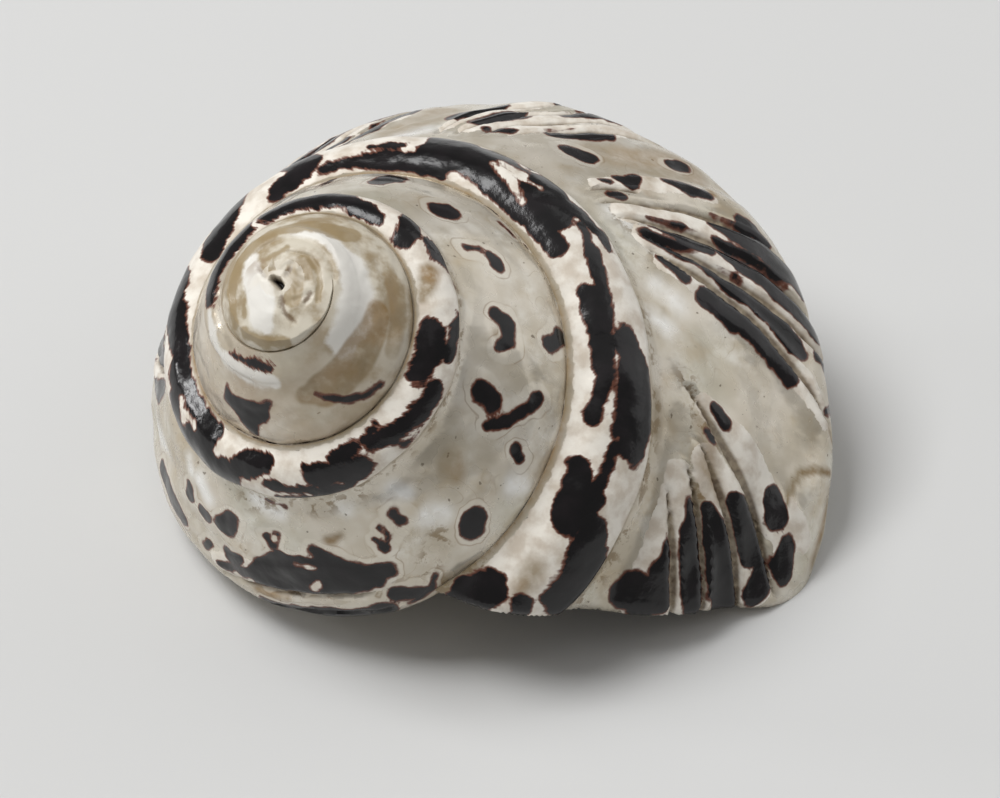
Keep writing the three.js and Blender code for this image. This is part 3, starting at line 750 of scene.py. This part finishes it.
# Each length of whorl starts at the turn where the one before it ends.
shell = whorl("shell_looks", -1.3, -.5, .25, spire_spread(COLUMNS_EARLY, 6))
join(shell, whorl("second", -.5, .3, .14, spire_columns), "UNION")
join(shell, whorl("third", .3, 1.1, .24, spire_columns), "UNION")
join(shell, whorl("fourth", 1.1, 1.8, None, fine_columns), "UNION")
join(shell, round_body("pillar", PILLAR, 24, OUTER), "UNION")
join(shell, round_body("dome", dome_line(), 180, DOME, worn_tip), "INTERSECT")

last = whorl("last", 1.8, 2.35, None, fine_columns)
join(last, block_beyond("beyond lip", LIP_POINT, LIP_FACING), "DIFFERENCE")
join(shell, last, "UNION")
join(shell, hollow("chamber a", HOLLOW_STARTS, 1.95, .9), "DIFFERENCE")
join(shell, hollow("chamber b", 1.95, 2.39, .9), "DIFFERENCE")
join(shell, block_beyond("table", (0, 0, 0), (0, 0, 1)), "DIFFERENCE")
shell.name = shell.data.name = "shell_looks"


def keep_largest(piece):
    """Deletes the loose slivers that the joins leave, keeping what holds the highest point."""
    pick_only(piece)
    bpy.ops.object.mode_set(mode="EDIT")
    bpy.ops.mesh.select_all(action="DESELECT")
    bpy.ops.object.mode_set(mode="OBJECT")
    high = max(piece.data.vertices, key=lambda v: v.co.z)
    high.select = True
    bpy.ops.object.mode_set(mode="EDIT")
    bpy.ops.mesh.select_mode(type="VERT")
    bpy.ops.mesh.select_linked()
    bpy.ops.mesh.select_all(action="INVERT")
    bpy.ops.mesh.delete(type="VERT")
    bpy.ops.object.mode_set(mode="OBJECT")


keep_largest(shell)

# ---- markings, worked out at every face corner ----
mesh = shell.data
corner_spot = upright(read(mesh.vertices, "co", 3, float))[read(mesh.loops, "vertex_index")]
coil = read(mesh.attributes["coil"].data, "vector", 2, np.float32).astype(float)
corner_part = np.repeat(read(mesh.attributes["part"].data, "value"), read(mesh.polygons, "loop_total"))
turn, across = coil[:, 0], coil[:, 1]

# on the worn dome the whorl is read back from the place itself
radius = np.hypot(corner_spot[:, 0], corner_spot[:, 1])
phase = (-np.arctan2(corner_spot[:, 1], corner_spot[:, 0]) / FULL_TURN) % 1
on_dome = corner_part == DOME
dome_turn = phase - 1
for back in (2, 3, 4):
    dome_turn = np.where(radius < seam_reach(phase - back + 1), phase - back, dome_turn)
dome_turn = np.where(radius > seam_reach(phase), phase, dome_turn)
turn = np.where(on_dome, dome_turn, turn)
dome_across = (radius / growth(dome_turn) - SEAM_RADIUS) / ACROSS_TO_RADIUS
across = np.where(on_dome, dome_across, across)

size_here = growth(turn)
ridge_marks = [[(t, a, wide * RIDGE_WIDER) for t, a, wide in stroke] for stroke in RIDGE_MARKS]
dark = strokes_depth(turn, across, COLLAR_MARKS + SPOTS + ridge_marks)
dark = np.minimum(dark, -strokes_depth(turn, across, PALE)) * size_here
spots_alone = strokes_depth(turn, across, SPOTS) * size_here
outer_layer = strokes_depth(turn, across, OUTER_LAYER)
collar = np.minimum(COLLAR_EDGE + .06 - across, across - .12)
collar = np.where(turn > .2, collar - 1.9 * smooth_step(.62, .42, turn), NO_STROKE)
outer_layer = np.maximum(outer_layer, collar) * size_here
groove = groove_amount(turn, across)
stain_and_shade = np.zeros(len(turn))
for strength, stroke in STAIN:
    stain_and_shade = np.maximum(stain_and_shade, strength * smooth_step(-.15, .15, strokes_depth(turn, across, [stroke])))
# dirt lies in the seam and against the collar's step
seam_dirt = bell(across, 0, .10) + .6 * bell(across - COLLAR_EDGE, .07, .06)
below_tip = np.where(on_dome, 0, smooth_step(.45, .62, turn))
stain_and_shade = np.maximum(stain_and_shade, .8 * np.clip(seam_dirt, 0, 1) * below_tip)
at_tip = (corner_part != CHAMBER) & (radius < 7.2) & (turn < .55)
tip_white_and_highlight = np.where(at_tip, tip_depth(corner_spot, TIP_WHITE_AND_HIGHLIGHT), NO_STROKE)
tip_tan = np.where(at_tip, tip_depth(corner_spot, TIP_TAN), NO_STROKE)
tip_brown = np.where(at_tip, tip_depth(corner_spot, TIP_BROWN), NO_STROKE)
# painted shade: the hole at the tip is coloured near black, standing in for the dark of its depth
pit_painted_shade = np.where(at_tip, smooth_step(-.02, .16, tip_depth(corner_spot, [TIP_PIT])), 0)
stain_and_shade = np.maximum(stain_and_shade, smooth_step(-.07, .03, strokes_depth(turn, across, THIN_MARKS)))

# crusted dirt beside the collar and at the roots of the fans
crust = bell(across - COLLAR_EDGE, .25, .2) * (turn > .6)
crust = np.maximum(crust, smooth_step(-.3, .2, strokes_depth(turn, across, CRUST)))

hidden = (corner_part == CHAMBER) | (corner_part == EDGE)
dark = np.where(hidden, NO_STROKE, dark)
outer_layer = np.where(hidden, NO_STROKE, outer_layer)
groove = np.where(hidden, 0, groove)
# the cut edge is lightly stained; the chamber's inside is darkened as painted shade, so the shadow under the
# lip falls deeper
edge_stain, chamber_painted_shade = .25, .45
stain_and_shade = np.where(corner_part == EDGE, edge_stain, np.where(corner_part == CHAMBER, chamber_painted_shade, stain_and_shade))
tip_worn = 1 - smooth_step(-.05, .32, turn)
early = 1 - smooth_step(.30, .66, turn)
# painted highlights, mixed in near white below
painted_highlight = smooth_step(-.32, .22, strokes_depth(turn, across, PAINTED_HIGHLIGHTS))

for name, values in {
        "dark": dark, "outer_layer": outer_layer, "groove": groove, "stain_and_shade": stain_and_shade, "pit_shade": pit_painted_shade,
        "tip_worn": tip_worn, "early": early, "painted_highlight": painted_highlight, "tip_white_and_highlight": tip_white_and_highlight,
        "tip_tan": tip_tan, "tip_brown": tip_brown, "spots_alone": spots_alone, "crust": crust,
        "turn": turn, "across": across}.items():
    kept_values = mesh.attributes.new(name, "FLOAT", "CORNER")
    kept_values.data.foreach_set("value", values.astype(np.float32))

pick_only(shell)
bpy.ops.object.shade_smooth_by_angle(angle=math.radians(50))


# ---- materials ----
def colour(hex_text):
    """An sRGB hex colour as linear red, green, blue and a full alpha."""
    parts = [int(hex_text[i:i + 2], 16) / 255 for i in (1, 3, 5)]
    return tuple(p / 12.92 if p <= .04045 else ((p + .055) / 1.055) ** 2.4 for p in parts) + (1.0,)


def add(tree, kind, settings=None, links=None):
    """Adds a node, with its settings and what is linked into it."""
    node = tree.nodes.new(kind)
    for name, value in (settings or {}).items():
        if isinstance(name, int) or name in node.inputs:
            node.inputs[name].default_value = value
        else:
            setattr(node, name, value)
    for name, source in (links or {}).items():
        tree.links.new(source, node.inputs[name])
    return node


def polished_shell():
    """Turban shell, ground and polished: silvery grey-green mother-of-pearl with a soft satin
    shine, a chalkier pinkish-white outer layer, and black-brown pigment with a reddish edge."""
    material = bpy.data.materials.new("polished_turban_shell")
    material.use_nodes = True
    tree = material.node_tree
    tree.nodes.clear()
    place = add(tree, "ShaderNodeTexCoord").outputs["Object"]

    def kept(name):
        return add(tree, "ShaderNodeAttribute", {"attribute_name": name}).outputs["Fac"]

    def noise(scale, detail=3.0, rough=.55):
        return add(tree, "ShaderNodeTexNoise", {"Scale": scale, "Detail": detail, "Roughness": rough},
                   {"Vector": place}).outputs["Fac"]

    def spread(source, low, high, out_low=0.0, out_high=1.0):
        return add(tree, "ShaderNodeMapRange",
                   {"interpolation_type": "SMOOTHSTEP", 1: low, 2: high, 3: out_low, 4: out_high},
                   {0: source}).outputs[0]

    def sums(a, b, factor):
        """a plus b times factor"""
        return add(tree, "ShaderNodeMath", {"operation": "MULTIPLY_ADD", 1: factor}, {0: b, 2: a}).outputs[0]

    def times_number(a, number):
        return add(tree, "ShaderNodeMath", {"operation": "MULTIPLY", 1: number}, {0: a}).outputs[0]

    def times(a, b):
        return add(tree, "ShaderNodeMath", {"operation": "MULTIPLY"}, {0: a, 1: b}).outputs[0]

    def larger(a, b):
        return add(tree, "ShaderNodeMath", {"operation": "MAXIMUM"}, {0: a, 1: b}).outputs[0]

    def towards(source, factor, number):
        """source, going over to a number as the factor goes to 1"""
        return add(tree, "ShaderNodeMix", {"data_type": "FLOAT", 3: number},
                   {0: factor, 2: source}).outputs[0]

    def bumped(height, strength, distance, normal=None):
        links = {"Height": height}
        if normal is not None:
            links["Normal"] = normal
        return add(tree, "ShaderNodeBump", {"Strength": strength, "Distance": distance}, links).outputs[0]

    def mixed(factor, a, b):
        links, settings = {"Fac": factor}, {}
        for socket, value in (("Color1", a), ("Color2", b)):
            if isinstance(value, tuple):
                settings[socket] = value
            else:
                links[socket] = value
        return add(tree, "ShaderNodeMixRGB", settings, links).outputs[0]

    # mother-of-pearl: clouds 3 to 8 mm across, finer mottling under 1 mm
    clouds = spread(noise(170, 3), .35, .68)
    mottle = spread(noise(900, 4, .6), .3, .7)
    pearl = mixed(clouds, colour("#c2b8a5"), colour("#dbd3c5"))
    pearl = mixed(times(mottle, spread(noise(260, 2), .4, .7)), pearl, colour("#e6e1d6"))
    green = spread(noise(120, 2, .4), .52, .7, 0, .22)
    pearl = mixed(green, pearl, colour("#bcc1b1"))
    tan_cloud = spread(noise(210, 4, .6), .54, .72, 0, .5)
    pearl = mixed(tan_cloud, pearl, colour("#b09c7a"))
    # the layers of the shell show as fine wavy lines where they are ground through
    layer_height = times_number(noise(140, 2, .45), 17)
    layers = add(tree, "ShaderNodeMath", {"operation": "PINGPONG", 1: .5}, {0: layer_height})
    layer_line = times(spread(layers.outputs[0], .05, .0), spread(noise(230, 3), .52, .66, 0, .32))
    pearl = mixed(layer_line, pearl, colour("#8c7a5d"))
    # painted highlights: near-white patches where glints of light would fall on the pearl
    pearl = mixed(times(kept("painted_highlight"), spread(noise(700, 3), .3, .6, .6, 1)), pearl, colour("#f7f6f2"))
    # brown crust lodged beside the collar
    crust = times(kept("crust"), spread(noise(900, 5, .65), .50, .58, 0, .75))
    pearl = mixed(crust, pearl, colour("#806a48"))
    # scattered pinholes of dirt
    pinholes = spread(noise(2300, 1, .3), .755, .79, 0, .7)
    pearl = mixed(pinholes, pearl, colour("#5a4a36"))

    # the early whorls are warmer and browner
    warm = times(kept("early"), spread(noise(330, 4), .3, .65, .25, .8))
    pearl = mixed(warm, pearl, colour("#b09e86"))

    # worn tip: whiter, with tan and brown stain; one arc of the white is a painted highlight
    tip = kept("tip_worn")
    ragged = spread(noise(900, 4, .6), 0, 1, -.5, .5)
    tip_base = mixed(spread(noise(420, 4), .4, .62), colour("#cfc7b6"), colour("#9c8a6c"))
    pearl = mixed(tip, pearl, tip_base)
    pearl = mixed(spread(sums(kept("tip_white_and_highlight"), ragged, .5), -.1, .25, 0, .92), pearl, colour("#e6e3dc"))
    pearl = mixed(spread(sums(kept("tip_tan"), ragged, .5), -.12, .12, 0, .8), pearl, colour("#94805c"))
    pearl = mixed(spread(sums(kept("tip_brown"), ragged, .7), -.14, .14, 0, .75), pearl, colour("#5e4529"))

    # outer layer: warm white, crumbling at its edge
    wobble = noise(1500, 3)
    outer_edge = sums(kept("outer_layer"), spread(wobble, 0, 1, -.5, .5), .45)
    outer_mask = spread(outer_edge, -.06, .06)
    chalk = mixed(spread(noise(700, 4), .35, .7), colour("#efe9de"), colour("#d0c4b4"))
    skin = mixed(outer_mask, pearl, chalk)

    # stain, the painted shade inside the chamber, and groove dirt
    stain_and_shade_mask = times(kept("stain_and_shade"), spread(noise(1300, 3), .25, .6, .6, 1))
    skin = mixed(stain_and_shade_mask, skin, mixed(spread(noise(260, 2), .4, .6), colour("#86714d"), colour("#8c6a32")))
    groove_mask = spread(kept("groove"), .12, .5, 0, .85)
    groove_dirt = mixed(spread(noise(1400, 2), .3, .7), colour("#9a8a70"), colour("#5f4c36"))
    skin = mixed(groove_mask, skin, groove_dirt)

    # pigment: near black, reddish-brown at the rim; a pale ring and a thin brown line round each spot
    along = sums(times_number(kept("turn"), 80), kept("across"), 2.6)
    growth_lines = add(tree, "ShaderNodeCombineXYZ", links={0: along, 1: kept("across")}).outputs[0]
    feather = add(tree, "ShaderNodeTexNoise", {"Scale": 1.5, "Detail": 3.0, "Roughness": .6},
                  {"Vector": growth_lines}).outputs["Fac"]
    feather = times(spread(feather, .2, .8, -.17, .17), spread(kept("across"), 1.6, 2.1, 1, .2))
    edge_noise = sums(spread(noise(850, 3, .5), 0, 1, -.22, .22), feather, 1.0)
    edge_noise = sums(edge_noise, spread(noise(340, 2, .5), .2, .8, -.24, .24), 1.0)
    pigment_edge = sums(kept("dark"), edge_noise, 1.0)
    in_groove = sums(pigment_edge, kept("groove"), -.9)
    rim = spread(in_groove, -.13, .03)
    core = spread(in_groove, .0, .16)
    round_spot = sums(kept("spots_alone"), spread(noise(420, 2), 0, 1, -.5, .5), 1.1)
    halo = spread(round_spot, -.55, -.35, 0, .5)
    skin = mixed(halo, skin, colour("#e2dbcd"))
    broken = spread(noise(330, 2), .42, .6, 0, .42)
    ring = times(spread(round_spot, -.62, -.55), times(spread(round_spot, -.45, -.52), broken))
    skin = mixed(ring, skin, colour("#8a6f50"))
    skin = mixed(rim, skin, colour("#6b4030"))
    black = mixed(spread(noise(500, 3), .4, .7), colour("#0c090a"), colour("#171214"))
    skin = mixed(core, skin, black)
    # painted shade in the hole at the tip
    skin = mixed(kept("pit_shade"), skin, colour("#140d08"))

    height = sums(times(noise(2600, 3), outer_mask), mottle, .3)
    bump = bumped(height, .14, .00014)
    # hand grinding leaves the polish gently dished, 2 to 4 mm from crest to crest
    dished = sums(noise(300, 2, .4), noise(560, 2, .4), .35)
    bump = bumped(dished, .55, .00055, bump)
    # polished pearl is satin, chalk duller, pigment glassy, dirt and the worn tip nearly dull
    gloss = spread(noise(380, 3), .3, .7, .19, .36)
    for mask, roughness in ((outer_mask, .36), (core, .17), (stain_and_shade_mask, .62), (tip, .5)):
        gloss = towards(gloss, mask, roughness)
    # mother-of-pearl sends light back from its layers, so it is part mirror; what covers it isn't
    covered = larger(larger(larger(outer_mask, rim), stain_and_shade_mask), tip)
    mirror = spread(covered, 0, 1, .42, 0)
    shader = add(tree, "ShaderNodeBsdfPrincipled", {"IOR": 1.42, "Coat Weight": .10, "Coat Roughness": .12},
                 {"Base Color": skin, "Roughness": gloss, "Metallic": mirror, "Normal": bump})
    add(tree, "ShaderNodeOutputMaterial", links={"Surface": shader.outputs[0]})
    return material


mesh.materials.clear()
mesh.materials.append(polished_shell())
for polygon in mesh.polygons:
    polygon.material_index = 0

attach(shell, "root")
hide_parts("shell")

# ---- floor, light and camera ----
bpy.ops.object.select_all(action="DESELECT")
bpy.ops.mesh.primitive_plane_add(size=6)
floor = bpy.context.object
floor.name = "floor"
floor_material = bpy.data.materials.new("pale_card")
floor_material.use_nodes = True
floor_shader = floor_material.node_tree.nodes["Principled BSDF"]
floor_shader.inputs["Base Color"].default_value = colour("#d0d0cf")
floor_shader.inputs["Roughness"].default_value = .9
floor.data.materials.append(floor_material)


def soft_box(name, place, size, power):
    """A square studio light pointing at the foot of the shell."""
    aim = (0, 0, .01)
    lamp = bpy.data.lights.new(name, "AREA")
    lamp.size = size
    lamp.energy = power
    light = bpy.data.objects.new(name, lamp)
    light.location = place
    light.rotation_euler = (Vector(aim) - Vector(place)).to_track_quat("-Z", "Y").to_euler()
    bpy.context.collection.objects.link(light)


soft_box("key", (-.50, .08, 1.0), .60, 10.6)
soft_box("overhead", (.30, .1, 1.5), 1.8, 2.4)
soft_box("left strip", (-.65, .13, .20), .10, .50)
soft_box("right card", (.88, .38, .32), 1.1, 2.5)
world = bpy.data.worlds.new("studio")
bpy.context.scene.world = world
world.use_nodes = True
world.node_tree.nodes["Background"].inputs[0].default_value = (.80, .80, .80, 1)
world.node_tree.nodes["Background"].inputs[1].default_value = .30

lens = bpy.data.cameras.new("camera")
lens.lens = 201.6
lens.sensor_width = 36
camera = bpy.data.objects.new("camera", lens)
camera.location = (.00062, -.2786, .2888)
camera.rotation_euler = (math.radians(44.6), 0, 0)
bpy.context.collection.objects.link(camera)
bpy.context.scene.camera = camera
bpy.context.scene.view_settings.view_transform = "Standard"
